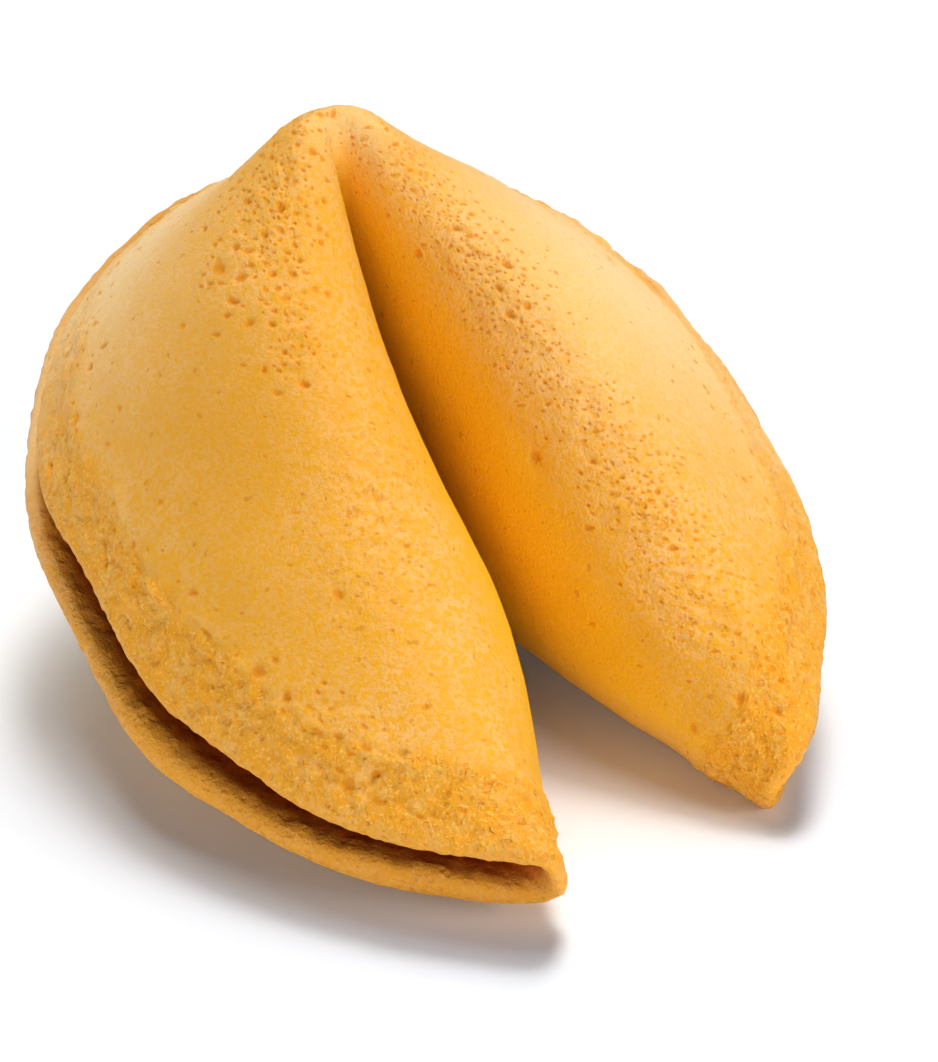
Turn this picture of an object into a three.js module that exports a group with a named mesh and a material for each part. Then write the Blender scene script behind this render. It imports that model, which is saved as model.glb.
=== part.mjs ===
// Fortune cookie: a thin round wafer, folded in half along its diameter and then bent
// over a rim, so that the middle of the fold is pressed in and two rounded lobes stand
// side by side. Millimetres, +Z up. The cookie rests on z = 0 with its origin under the
// middle of its box; the notch between the lobes opens towards -Y.
//
// The sheet is worked out on the flat wafer: x runs along the fold, y across it. The front
// sheet (y > 0) is the one that lies on top, the back sheet (y < 0) the one below.
// In the folded cookie u runs from the left lobe to the right one, v from the tips to the
// crest, and w from the back sheet to the front sheet.
import * as THREE from "three";

// ---- Wafer ----
const RADIUS = 42; // flat round wafer
const THICKNESS = 1.6;
const WAFER_CENTRE = { x: -1.4, y: 1.4 }; // how far off its middle the wafer was folded
// The outline round the middle of the crease: cosine and sine parts of its radius.
const OUT_OF_ROUND = [
  { waves: 1, cos: WAFER_CENTRE.x / RADIUS, sin: WAFER_CENTRE.y / RADIUS },
  { waves: 2, cos: -0.021, sin: -0.01 },
  { waves: 3, cos: -0.009, sin: 0 },
  { waves: 4, cos: 0.004, sin: 0.001 },
];
// Broad bumps of the edge, each at an angle, and the two ends of the fold cut a little short.
const EDGE_BUMPS = [
  { at: -2.64, spread: 0.45, height: 1.1 },
  { at: 0.62, spread: 0.18, height: 1.7 },
  { at: -1.95, spread: 0.22, height: 0.6 },
  { at: Math.PI, spread: 0.16, height: -1.4 },
  { at: 0, spread: 0.16, height: -0.9 },
];

// ---- Folds ----
const HALF_HEIGHT = { front: 22.1, back: 20.2 }; // middle of the crease to each of its ends
const CREASE_HALF_WIDTH = 1.3; // half of the strip between the two lobes
const TIP_HALF_GAP = 2; // half gap of the seam at the tips
const CREST_HALF_GAP = 2.5; // half gap of the seam at the crest
const LOBE_TURN = { left: 173.9, right: 165.8 }; // degrees that each lobe is wrapped round the crease
// Radii over which the folds are rounded off, on the flat wafer.
const ROUNDING = { alongCrease: 1.8, atKnob: 5.6, atTips: 1.9 };
// The lobes are rounder in their middle, up to this share of the way to the crease. The extra
// rounding starts beside the front of the crease, and fades out beyond the fold of the inner wall.
const LOBE_ROUNDING = {
  left: 6.7,
  right: 8.9,
  share: 0.8,
  profile: 0.6,
  start: 4.5,
  fade: 14.1,
};

// Share of the thickness that tight folds lose: inside the ends of the crease and the tips,
// and on the outer face along the bottom of the crease.
const DRAWN_THIN = { creaseEnds: 0.75, tips: 0.6, creaseBottom: 0.3 };
const THIN_REACH = { creaseEnds: 5, tips: 6, creaseBottom: 1.5 };

// ---- Uneven shape ----
const CREST_FLARE = 4.7; // lips of the seam at the crest bent outwards
const SIDE_BULGE = { left: -1.1, right: 1.6 }; // outer sides of the lobes, away from the crease
// Sheets of each lobe swollen away from the seam.
const FACE_BELLY = {
  left: { front: 2.4, back: -1.4 },
  right: { front: 1.3, back: -0.5 },
};
const WALL_BULGE = { left: 2.9, right: 2.6 }; // inner walls swollen into the notch
const SWELL_SKEW = 1.02; // below 1 the walls swell nearer to the crease
const KNOB = { height: 1.2, width: 8.7 }; // bump at the front end of the crease
// Shallow saddle between the knob and the rim, at a place on the wafer.
const NECK = { depth: 1, x: -4.5, y: 31, halfX: 5, halfY: 4 };
const BOW = { left: 0.6, right: 1 }; // middle of each lobe moved inwards
const LEAN = { u: -2.3, v: -2.5, height: 20 }; // sideways shift at this height above the middle
const TWIST = { left: 6.9, right: -18.1 }; // degrees at the tips
const SEAM_SHIFT = { left: 4, right: 1.9 }; // seam moved towards the front at the tips
const BEND_BLEND = 4; // width across the middle in which one side's shape passes into the other's
const BACK_KNOB_SHIFT = 2; // back end of the crease moved towards the right lobe

// ---- Baked surface ----
// Ripples of the ragged edge, along the outline.
const RIM_RIPPLES = [
  { waves: 7, depth: 0.3, phase: 0.4 },
  { waves: 12, depth: 0.25, phase: 2.1 },
  { waves: 19, depth: 0.2, phase: 5 },
];
// Gentle swellings of the outer face, as waves over the wafer.
const SWELLINGS = [
  { alongX: 0.23, alongY: 0.11, height: 0.12, phase: 1 },
  { alongX: -0.14, alongY: 0.29, height: 0.1, phase: 4 },
  { alongX: 0.41, alongY: -0.33, height: 0.06, phase: 2 },
];
// Browned band of crust along the edge.
const CRUST_BAND = { inset: 4, width: 1.6, height: 0.2 };

// ---- Pose on the table ----
const REST_UP = new THREE.Vector3(0.0617, 0.3619, 0.9302); // upward direction in the folded frame
const FLAT_DEPTH = 0.35; // how much the points it rests on are worn flat

// ---- Mesh ----
const RINGS = 22;
const RING_CROWDING = 1.3; // rings crowd towards the middle of the crease
const SPOKES = 80;
const SPOKE_CROWDING = 0.55; // spokes crowd towards the tips and the crease
const RIM_ROUND = 0.35; // how far the edge is rounded out, of the thickness
const SLOPE_STEP = 0.35; // step on the wafer for the surface's slope
const EDGE_STEP = 0.3; // step inwards for the sheet's direction at the edge, in rings
const CONE_STEPS = 120; // steps of direction in the tables of the cones
const KERNEL = { count: 90, radius: 1.14 }; // places that the rounding of the folds averages
const GOLDEN_ANGLE = Math.PI * (3 - Math.sqrt(5));

const clamp = (value, low, high) => Math.min(Math.max(value, low), high);
const degrees = THREE.MathUtils.degToRad;
// 1 at no distance, falling smoothly to nearly 0 at twice the reach.
const fade = (distance, reach) => Math.exp(-((distance / reach) ** 2));

// Distance from the middle of the crease to the wafer's edge in the direction of angle.
function outlineRadius(angle) {
  let scale = 1;
  for (const { waves, cos, sin } of OUT_OF_ROUND) {
    scale += cos * Math.cos(waves * angle) + sin * Math.sin(waves * angle);
  }
  let radius = RADIUS * scale;
  for (const { waves, depth, phase } of RIM_RIPPLES) {
    radius += depth * Math.sin(waves * angle + phase);
  }
  for (const { at, spread, height } of EDGE_BUMPS) {
    const apart = Math.atan2(Math.sin(angle - at), Math.cos(angle - at));
    radius += height * fade(apart, spread);
  }
  return radius;
}

// One quarter of the sheet is a cone with its point at the end of the crease. The table
// holds, for each direction on the flat quarter, the tilt of the cone's ruling, how far it
// has turned round the crease, and its length to the wafer's edge.
const FLATTEST_TILT = Math.acos(0.985); // a ruling never lies closer to the crease

function coneTable(side, face) {
  const sideSign = side === "left" ? -1 : 1;
  const faceSign = face === "front" ? 1 : -1;
  const height = HALF_HEIGHT[face];
  const centreX = sideSign * WAFER_CENTRE.x - CREASE_HALF_WIDTH;
  const centreY = faceSign * WAFER_CENTRE.y - height;
  const foldDirection = Math.PI / 2 + Math.atan2(height - TIP_HALF_GAP, RADIUS + centreX);
  const step = foldDirection / CONE_STEPS;
  const length = [];
  const tilt = [];
  for (let i = 0; i <= CONE_STEPS; i++) {
    const direction = i * step;
    const along = Math.sin(direction) * centreX + Math.cos(direction) * centreY;
    const offset = RADIUS ** 2 - centreX ** 2 - centreY ** 2 + along ** 2;
    length.push(along + Math.sqrt(offset));
    const gap = TIP_HALF_GAP + (CREST_HALF_GAP - TIP_HALF_GAP) * (1 - i / CONE_STEPS) ** 2;
    tilt.push(Math.max(Math.acos(clamp((height - gap) / length[i], -1, 1)), FLATTEST_TILT));
  }
  // The turn follows from the sheet not stretching as the tilt changes.
  const turnRate = tilt.map((value, i) => {
    const before = Math.max(i - 1, 0);
    const after = Math.min(i + 1, CONE_STEPS);
    const tiltRate = (tilt[after] - tilt[before]) / ((after - before) * step);
    return Math.sqrt(Math.max(1 - tiltRate ** 2, 0)) / Math.sin(value);
  });
  const turn = [0];
  for (let i = 1; i <= CONE_STEPS; i++) {
    turn.push(turn[i - 1] + 0.5 * (turnRate[i] + turnRate[i - 1]) * step);
  }
  const fit = degrees(LOBE_TURN[side]) / turn[CONE_STEPS];
  return { foldDirection, step, length, tilt, turn: turn.map((value) => value * fit) };
}

const CONES = {};
for (const side of ["left", "right"]) {
  CONES[side] = { front: coneTable(side, "front"), back: coneTable(side, "back") };
}

// Value of a cone's column in a direction, between the table's steps.
function lookUp(cone, column, direction) {
  const place = clamp(direction / cone.step, 0, CONE_STEPS);
  const index = Math.min(Math.floor(place), CONE_STEPS - 1);
  const values = cone[column];
  return values[index] + (values[index + 1] - values[index]) * (place - index);
}

// Rises from the crease to 1 in the middle of the wall and falls to 0 at its tip.
function swelling(fromCrease) {
  return Math.sin(Math.PI * Math.min(fromCrease / RADIUS, 1) ** SWELL_SKEW) ** 2;
}

// Folded place of a wafer point with sharp folds.
function sharpPoint(x, y) {
  const side = x < 0 ? "left" : "right";
  const face = y >= 0 ? "front" : "back";
  const sideSign = x < 0 ? -1 : 1;
  const faceSign = y >= 0 ? 1 : -1;
  const cone = CONES[side][face];
  const height = HALF_HEIGHT[face];
  const fromCrease = Math.max(Math.abs(x) - CREASE_HALF_WIDTH, 0);
  const away = Math.abs(y);
  let u;
  let v;
  let w;
  const direction = Math.atan2(fromCrease, away - height);
  if (direction > cone.foldDirection) {
    // Inner wall: the flat triangle that stands beside the notch, slightly swollen.
    const turn = degrees(LOBE_TURN[side]);
    const reach = RADIUS + sideSign * WAFER_CENTRE.x - CREASE_HALF_WIDTH;
    const halfWall = height - (height - TIP_HALF_GAP) * Math.min(fromCrease / reach, 1);
    const swell = WALL_BULGE[side] * swelling(fromCrease) * Math.max(1 - (away / halfWall) ** 2, 0);
    u = fromCrease * Math.sin(turn) - swell;
    v = fromCrease * Math.cos(turn);
    w = away;
  } else {
    const distance = Math.hypot(fromCrease, away - height);
    const tilt = lookUp(cone, "tilt", direction);
    const turn = lookUp(cone, "turn", direction);
    const out = distance / lookUp(cone, "length", direction);
    const round = direction / cone.foldDirection;
    const reach =
      distance * Math.sin(tilt) +
      CREST_FLARE * (1 - round) ** 2 * out ** 2 +
      SIDE_BULGE[side] * Math.sin(Math.PI * round) * out ** 2;
    u = reach * Math.sin(turn);
    v = reach * Math.cos(turn);
    w = height - distance * Math.cos(tilt) +
      FACE_BELLY[side][face] * Math.sin(Math.PI * round) * 4 * out * (1 - out);
  }
  u += Math.min(Math.abs(x), CREASE_HALF_WIDTH);
  return [sideSign * u, v, faceSign * w];
}

// Places spread evenly over a disc round a point, as parts of the rounding radius, with more
// weight near its middle.
const SAMPLES = [];
for (let i = 0; i < KERNEL.count; i++) {
  const share = (i + 0.5) / KERNEL.count;
  const radius = KERNEL.radius * Math.sqrt(share);
  const angle = i * GOLDEN_ANGLE;
  const weight = (2 * (1 - share)) / KERNEL.count;
  SAMPLES.push({ x: radius * Math.cos(angle), y: radius * Math.sin(angle), weight });
}

// How round the lobe is made at a wafer point, beyond the rounding of its folds.
function lobeRounding(x, y) {
  const out = Math.min(Math.abs(x) / RADIUS, 1);
  const height = y > 0 ? HALF_HEIGHT.front : HALF_HEIGHT.back;
  const beyondFold = Math.max(Math.abs(y) - height * (1 - out), 0);
  const { left, right, profile, start, fade: reach } = LOBE_ROUNDING;
  const most = left + (right - left) / (1 + Math.exp((-2 * x) / BEND_BLEND));
  const inFront = 1 / (1 + Math.exp(-y / BEND_BLEND));
  const share = (4 * out * (1 - out)) ** profile * (1 - inFront * fade(x, start));
  return most * share * fade(beyondFold, reach);
}

// Middle of the sheet with its folds rounded off.
function sheetPoint(x, y) {
  const inwards = 1 - Math.min(Math.abs(x) / RADIUS, 1);
  const lobe = lobeRounding(x, y);
  const radiusX = ROUNDING.alongCrease * inwards + ROUNDING.atTips * (1 - inwards) +
    Math.min(lobe, LOBE_ROUNDING.share * Math.abs(x));
  const radiusY = ROUNDING.atKnob * inwards ** 2 + ROUNDING.atTips * (1 - inwards ** 2) + lobe;
  const point = new THREE.Vector3();
  for (const sample of SAMPLES) {
    const [u, v, w] = sharpPoint(x + radiusX * sample.x, y + radiusY * sample.y);
    point.x += sample.weight * u;
    point.y += sample.weight * v;
    point.z += sample.weight * w;
  }
  const fromNeck = Math.hypot((x - NECK.x) / NECK.halfX, (y - NECK.y) / NECK.halfY);
  point.z += KNOB.height * fade(Math.hypot(x, y - HALF_HEIGHT.front), KNOB.width);
  point.z -= NECK.depth * fade(fromNeck, 1);
  return bend(point, x);
}

// Uneven bending of the whole: each lobe is bowed, leaned, twisted and shifted a little. The
// left lobe's share of the bend passes smoothly into the right lobe's across the crease.
function bend(point, x) {
  const out = Math.max(-point.y / RADIUS, 0);
  const left = 1 / (1 + Math.exp((2 * x) / BEND_BLEND));
  const right = 1 - left;
  const bow = BOW.left * left - BOW.right * right;
  const twist = degrees(TWIST.left * left + TWIST.right * right) * out;
  const seamShift = SEAM_SHIFT.left * left + SEAM_SHIFT.right * right;
  const low = clamp(-point.z / LEAN.height, 0, 1);
  const u = point.x + bow * 4 * out * (1 - out) + (LEAN.u * point.z) / LEAN.height +
    BACK_KNOB_SHIFT * low ** 3;
  const v = point.y + (LEAN.v * point.z) / LEAN.height;
  const w = point.z;
  return new THREE.Vector3(
    u * Math.cos(twist) - w * Math.sin(twist),
    v,
    u * Math.sin(twist) + w * Math.cos(twist) + seamShift * out ** 2,
  );
}

// Half thicknesses of the sheet inside and outside its middle, thinner in the tight folds.
function halfThickness(x, y) {
  const end = y > 0 ? HALF_HEIGHT.front : HALF_HEIGHT.back;
  const tip = outlineRadius(x < 0 ? Math.PI : 0);
  const atEnd = fade(Math.hypot(x, Math.abs(y) - end), THIN_REACH.creaseEnds);
  const atTip = fade(Math.hypot(Math.abs(x) - tip, y), THIN_REACH.tips);
  const atBottom = Math.abs(y) < end ? fade(x, THIN_REACH.creaseBottom) : 0;
  return {
    inside: (THICKNESS / 2) * (1 - DRAWN_THIN.creaseEnds * atEnd - DRAWN_THIN.tips * atTip),
    outside: (THICKNESS / 2) * (1 - DRAWN_THIN.creaseBottom * atBottom) +
      crustHeight(x, y) * (1 - atBottom),
  };
}

// Height of the baked relief on the outer face.
function crustHeight(x, y) {
  const fromEdge = outlineRadius(Math.atan2(y, x)) - Math.hypot(x, y);
  let height = CRUST_BAND.height * fade(fromEdge - CRUST_BAND.inset, CRUST_BAND.width);
  for (const wave of SWELLINGS) {
    height += wave.height * Math.sin(wave.alongX * x + wave.alongY * y + wave.phase);
  }
  return height;
}

// Direction square to the sheet, towards its outer face.
function sheetNormal(x, y) {
  const alongX = sheetPoint(x + SLOPE_STEP, y).sub(sheetPoint(x - SLOPE_STEP, y));
  const alongY = sheetPoint(x, y + SLOPE_STEP).sub(sheetPoint(x, y - SLOPE_STEP));
  return alongX.cross(alongY).normalize();
}

// ---- Solid ----
// Rings and spokes over the wafer, once for the outer and once for the inner face, joined
// round the edge by a strip with one row in its middle, so that the edge is rounded.
function cookieGeometry() {
  const positions = [];
  const faces = [];
  const add = (point) => positions.push(point) - 1;
  const spokes = [];
  for (let i = 0; i < SPOKES; i++) {
    const even = (2 * Math.PI * i) / SPOKES;
    spokes.push(even - (SPOKE_CROWDING * Math.sin(4 * even)) / 4);
  }
  const waferPoint = (ring, angle) => {
    const distance = outlineRadius(angle) * (ring / RINGS) ** RING_CROWDING;
    return [distance * Math.cos(angle), distance * Math.sin(angle)];
  };
  const layers = { outer: [], inner: [] };
  const rim = [];
  for (let ring = 0; ring <= RINGS; ring++) {
    const rows = { outer: [], inner: [] };
    for (const angle of ring === 0 ? [0] : spokes) {
      const [x, y] = waferPoint(ring, angle);
      const middle = sheetPoint(x, y);
      const normal = sheetNormal(x, y);
      const { inside, outside } = halfThickness(x, y);
      rows.outer.push(add(middle.clone().addScaledVector(normal, outside)));
      rows.inner.push(add(middle.clone().addScaledVector(normal, -inside)));
      if (ring === RINGS) {
        const [nearX, nearY] = waferPoint(RINGS - EDGE_STEP, angle);
        const outwards = middle.clone().sub(sheetPoint(nearX, nearY)).normalize();
        rim.push(add(middle.addScaledVector(outwards, THICKNESS * RIM_ROUND)));
      }
    }
    layers.outer.push(rows.outer);
    layers.inner.push(rows.inner);
  }
  const strip = (a, b) => {
    for (let i = 0; i < SPOKES; i++) {
      const next = (i + 1) % SPOKES;
      faces.push([a[i], b[i], b[next]], [a[i], b[next], a[next]]);
    }
  };
  const cap = (centre, row, turned) => {
    for (let i = 0; i < SPOKES; i++) {
      const next = (i + 1) % SPOKES;
      faces.push(turned ? [centre, row[next], row[i]] : [centre, row[i], row[next]]);
    }
  };
  cap(layers.outer[0][0], layers.outer[1], false);
  cap(layers.inner[0][0], layers.inner[1], true);
  for (let ring = 1; ring < RINGS; ring++) {
    strip(layers.outer[ring], layers.outer[ring + 1]);
    strip(layers.inner[ring + 1], layers.inner[ring]);
  }
  strip(layers.outer[RINGS], rim);
  strip(rim, layers.inner[RINGS]);
  return { positions, faces };
}

// ---- Pose ----
// Turns the folded frame so that REST_UP is up and the notch opens towards -Y, then wears
// the lowest points flat and sets the cookie on z = 0 over the origin.
function poseOnTable(points) {
  const up = REST_UP.clone().normalize();
  const back = new THREE.Vector3(0, 1, 0).projectOnPlane(up).normalize();
  const right = back.clone().cross(up);
  const toTable = new THREE.Matrix4().makeBasis(right, back, up).transpose();
  const placed = points.map((point) => point.clone().applyMatrix4(toTable));
  const floor = Math.min(...placed.map((point) => point.z)) + FLAT_DEPTH;
  for (const point of placed) {
    point.z = Math.max(point.z - floor, 0);
  }
  const box = new THREE.Box3().setFromPoints(placed);
  const middle = box.getCenter(new THREE.Vector3()).setZ(0);
  return placed.map((point) => point.sub(middle));
}

const { positions, faces } = cookieGeometry();
const geometry = new THREE.BufferGeometry();
geometry.setAttribute(
  "position",
  new THREE.Float32BufferAttribute(poseOnTable(positions).flatMap((point) => point.toArray()), 3),
);
geometry.setIndex(faces.flat());
geometry.computeVertexNormals();

const baked = new THREE.MeshStandardMaterial({ color: 0xe3a04c, roughness: 0.7, metalness: 0 });
const cookie = new THREE.Mesh(geometry, baked);
cookie.name = "cookie";

const fortuneCookie = new THREE.Group();
fortuneCookie.add(cookie);
export default fortuneCookie;
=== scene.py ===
"""The fortune cookie on a pale studio floor.

The wafer is worked out flat, in millimetres: x runs along the fold and y across it. Its middle
sheet is folded by the same formulas and sizes as the solid. A fine mesh over it carries the baked
relief: pores, pits, the ragged edge and the rougher, browner band along it. The mesh is finer in
that band, among the pores and round each of them.
"""

import math

import bpy
import numpy as np
from mathutils import Matrix, Vector
from mathutils.geometry import delaunay_2d_cdt
from mathutils.kdtree import KDTree


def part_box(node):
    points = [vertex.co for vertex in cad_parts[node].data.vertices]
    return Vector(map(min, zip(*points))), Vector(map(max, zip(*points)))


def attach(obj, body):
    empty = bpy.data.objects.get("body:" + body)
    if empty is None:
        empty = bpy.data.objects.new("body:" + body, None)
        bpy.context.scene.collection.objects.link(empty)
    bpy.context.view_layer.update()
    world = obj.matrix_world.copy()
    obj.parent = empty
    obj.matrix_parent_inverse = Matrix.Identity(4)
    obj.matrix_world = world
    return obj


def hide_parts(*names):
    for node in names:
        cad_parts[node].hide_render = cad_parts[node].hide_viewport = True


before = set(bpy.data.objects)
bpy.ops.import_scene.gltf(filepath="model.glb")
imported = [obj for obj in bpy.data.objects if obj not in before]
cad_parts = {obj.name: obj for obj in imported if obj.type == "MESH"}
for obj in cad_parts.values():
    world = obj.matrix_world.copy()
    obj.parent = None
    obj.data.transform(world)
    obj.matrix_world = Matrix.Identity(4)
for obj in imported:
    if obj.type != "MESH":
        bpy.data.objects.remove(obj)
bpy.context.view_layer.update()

MM = 0.001
SIDES = ("left", "right")
FACES = ("front", "back")

# ---- Wafer ----
RADIUS = 42.0
THICKNESS = 1.6
WAFER_CENTRE = (-1.4, 1.4)
# Outline round the middle of the crease: waves, cosine part, sine part.
OUT_OF_ROUND = (
    (1, WAFER_CENTRE[0] / RADIUS, WAFER_CENTRE[1] / RADIUS),
    (2, -0.021, -0.01),
    (3, -0.009, 0),
    (4, 0.004, 0.001),
)
# Broad bumps of the edge: angle, spread, height.
EDGE_BUMPS = (
    (-2.64, 0.45, 1.1),
    (0.62, 0.18, 1.7),
    (-1.95, 0.22, 0.6),
    (math.pi, 0.16, -1.4),
    (0, 0.16, -0.9),
)
RIM_RIPPLES = ((7, 0.3, 0.4), (12, 0.25, 2.1), (19, 0.2, 5.0))  # waves, depth, phase

# ---- Folds ----
HALF_HEIGHT = {"front": 22.1, "back": 20.2}
CREASE_HALF_WIDTH = 1.3
TIP_HALF_GAP = 2.0
CREST_HALF_GAP = 2.5
LOBE_TURN = {"left": 173.9, "right": 165.8}
ROUNDING = {"along_crease": 1.8, "at_knob": 5.6, "at_tips": 1.9}
LOBE_ROUNDING = {
    "left": 6.7,
    "right": 8.9,
    "share": 0.8,
    "profile": 0.6,
    "start": 4.5,
    "fade": 14.1,
}
DRAWN_THIN = {"crease_ends": 0.75, "tips": 0.6, "crease_bottom": 0.3}
THIN_REACH = {"crease_ends": 5.0, "tips": 6.0, "crease_bottom": 1.5}

# ---- Uneven shape ----
CREST_FLARE = 4.7
SIDE_BULGE = {"left": -1.1, "right": 1.6}
FACE_BELLY = {
    ("left", "front"): 2.4,
    ("left", "back"): -1.4,
    ("right", "front"): 1.3,
    ("right", "back"): -0.5,
}
WALL_BULGE = {"left": 2.9, "right": 2.6}
SWELL_SKEW = 1.02
KNOB = {"height": 1.2, "width": 8.7}
# Shallow saddle between the knob and the rim: depth, middle on the wafer, half widths.
NECK = {"depth": 1.0, "x": -4.5, "y": 31.0, "half_x": 5.0, "half_y": 4.0}
BOW = {"left": 0.6, "right": 1.0}
LEAN = {"u": -2.3, "v": -2.5, "height": 20.0}
TWIST = {"left": 6.9, "right": -18.1}
SEAM_SHIFT = {"left": 4.0, "right": 1.9}
BEND_BLEND = 4.0
BACK_KNOB_SHIFT = 2.0

# ---- Baked surface of the solid ----
SWELLINGS = ((0.23, 0.11, 0.12, 1.0), (-0.14, 0.29, 0.1, 4.0), (0.41, -0.33, 0.06, 2.0))
CRUST_BAND = {"inset": 4.0, "width": 1.6, "height": 0.2}

REST_UP = (0.0617, 0.3619, 0.9302)
CONE_STEPS = 120
FLATTEST_TILT = math.acos(0.985)
SLOPE_STEP = 0.35
KERNEL = {"count": 90, "radius": 1.14}
GOLDEN_ANGLE = math.pi * (3 - math.sqrt(5))

# ---- Fine relief, in millimetres ----
NOISE_TABLE = 256  # lumps after which the noise repeats
NOISE_GAIN = 1.5  # brings it to about -1 to 1
# Lumps of the whole surface: size, height, seed.
UNEVENNESS = ((11.0, 0.12, 11), (5.0, 0.06, 12), (2.2, 0.03, 13), (0.9, 0.012, 14))
# Bites and crumbs along the ragged edge: size, depth, seed.
RAGGED_EDGE = ((7.0, 0.1, 21), (2.6, 0.06, 22), (0.9, 0.04, 23), (0.5, 0.04, 24))
EDGE_DRAWN_IN = 3  # the edge is drawn in by the sum of these depths over this
BAND_WIDTH = 4.2  # browned rough band along the edge
BAND_BORDER = 1.1  # how far its inner border wanders
BAND_WANDER = (6.0, 61)  # size and seed of that wandering
BAND_FADE = (0.5, -0.7)  # where the band ends and where it is full, from its border
BAND_ROUGHNESS = ((1.0, 0.16, 31), (0.52, 0.18, 32))
BAND_STRETCH = 1.5  # how much longer than wide its lumps are, along the edge
BAND_CALM = {"reach": 1.0, "share": 0.7}  # its lumps are lower near the very edge
# Ripples of the crust among the pores: size, height, seed; and how much longer than wide.
POROUS_RIPPLES = ((0.9, 0.14, 34), (0.5, 0.14, 35))
RIPPLE_STRETCH = 2.0
SMOOTH_CREASE = 1.5  # reach of the crust without ripples beside the crease
# Broken lines of crumbs that run along the edge: distance from it, width, height, seed.
CRUMB_LINES = ((4.6, 0.22, 0.14, 41), (3.2, 0.2, 0.16, 42), (1.5, 0.2, 0.14, 43))
CRUMB_BREAKS = ((3.5, 1.0), (0.8, 0.4))  # size and strength of the noise that breaks them up
CRUMB_SHOWS = (0.0, 0.5)  # above the first value of that noise a line starts to show
FULL_CRUMBS = 0.14  # height of the crumbs that have their full colour
# Clusters of pores on the outer face: middle, half widths, count, smallest and largest radius.
PORE_CLUSTERS = (
    (-7.5, 23.4, 4.8, 2.8, 480, 0.11, 0.32),
    (-1.5, 24.0, 3.0, 2.2, 60, 0.11, 0.26),
    (5.5, 21.0, 4.0, 2.4, 170, 0.1, 0.2),
    (-14.8, 20.8, 2.3, 1.3, 40, 0.12, 0.26),
    (10.5, 18.5, 3.5, 2.4, 150, 0.1, 0.18),
    (14.0, 16.6, 3.0, 2.2, 90, 0.1, 0.18),
    (21.0, 14.2, 4.5, 2.4, 130, 0.1, 0.17),
    (26.5, 11.3, 4.5, 2.4, 130, 0.1, 0.17),
    (31.0, 8.0, 4.0, 3.0, 50, 0.1, 0.2),
    (-24.0, 14.0, 7.0, 4.0, 40, 0.09, 0.15),
    (-36.5, 16.0, 2.2, 3.5, 24, 0.12, 0.3),
    (-17.0, -17.0, 6.0, 4.0, 90, 0.1, 0.24),
    (13.0, -19.0, 6.0, 4.0, 100, 0.1, 0.24),
    (2.0, -21.0, 4.0, 3.0, 60, 0.1, 0.22),
    (27.0, -14.0, 5.0, 4.0, 60, 0.1, 0.22),
    (4.0, 33.0, 9.0, 3.0, 60, 0.1, 0.2),
)
SCATTERED_PORES = (250, 0.1, 0.18)  # count over the whole face, smallest and largest radius
EDGE_PORES = (520, 0.1, 0.3)  # count along the edge
EDGE_PORES_REACH = (1.0, 6.5)  # nearest and farthest from the edge
# Larger pits: place on the wafer, radius, width of the soft dent round it.
PITS = (
    (-11.7, 26.1, 0.46, 0),
    (-10.3, 25.3, 0.3, 0),
    (-7.2, 22.9, 0.4, 0),
    (-17.2, 19.9, 0.36, 0),
    (-14.3, 25.0, 0.24, 0),
    (-29.0, 15.9, 0.36, 0),
    (7.0, 15.3, 0.36, 1.5),
    (18.6, 9.0, 0.42, 1.7),
    (21.7, 11.6, 0.26, 0),
    (12.4, 19.6, 0.4, 0),
    (12.5, 17.7, 0.3, 0),
    (13.7, 16.5, 0.34, 0),
    (14.4, 17.9, 0.3, 0),
    (25.6, 12.9, 0.26, 0),
    (23.4, 7.7, 0.26, 0),
    (27.9, 10.3, 0.26, 0),
    (35.2, 4.7, 0.4, 0),
    (37.1, 5.6, 0.45, 0),
    (-33.9, 19.4, 0.45, 0),
    (-35.1, 17.6, 0.36, 0),
    (-39.6, 13.6, 0.5, 0),
    (-38.9, 12.2, 0.34, 0),
    (-36.9, 15.6, 0.3, 0),
    (-12.0, -24.0, 0.4, 1.4),
    (20.0, -20.0, 0.38, 0),
    (8.0, -14.0, 0.36, 1.4),
    (-27.0, -20.0, 0.42, 0),
    (6.0, 34.0, 0.36, 0),
)
PIT_STRETCH = (1.0, 1.4)  # least and greatest length of a pit, of its width
PORE_SPACING = 1.12  # least distance between two pores, of the sum of their mean radii
PORE_EDGE_ROOM = 2  # least distance from the edge, in mean radii
PORE_STRETCH = (1.0, 2.2)  # least and greatest length of a pore, of its width
# The higher, the rarer the large pores and the long ones.
LARGE_RARITY = {"clusters": 2.5, "scattered": 2, "edge": 2.5}
LONG_RARITY = 1.5
CLUSTER_WIDTH = 1.5  # half width of a cluster, of the spread of its pores
PORE_TURN = {"left": -75.0, "right": 45.0}  # degrees from the fold to the length of the pores
PORE_WOBBLE = (0.16, 0.1)  # unevenness of a pore's outline, in two and three waves
PORE_PHASES = (0, 6)  # least and greatest phase of those waves
PORE_DEPTH = 0.55  # depth of a pore, of its radius
# Lip round a pore: height, distance of its crest from the pore's middle, width, of its radius.
PORE_LIP = {"height": 0.1, "crest": 1.15, "width": 0.25}
PORE_REACH = 1.5  # of a pore and its lip, of its radius
DENT_DEPTH = 0.12  # of the soft dent round some pits
SCATTER_SEED = 5

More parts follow.
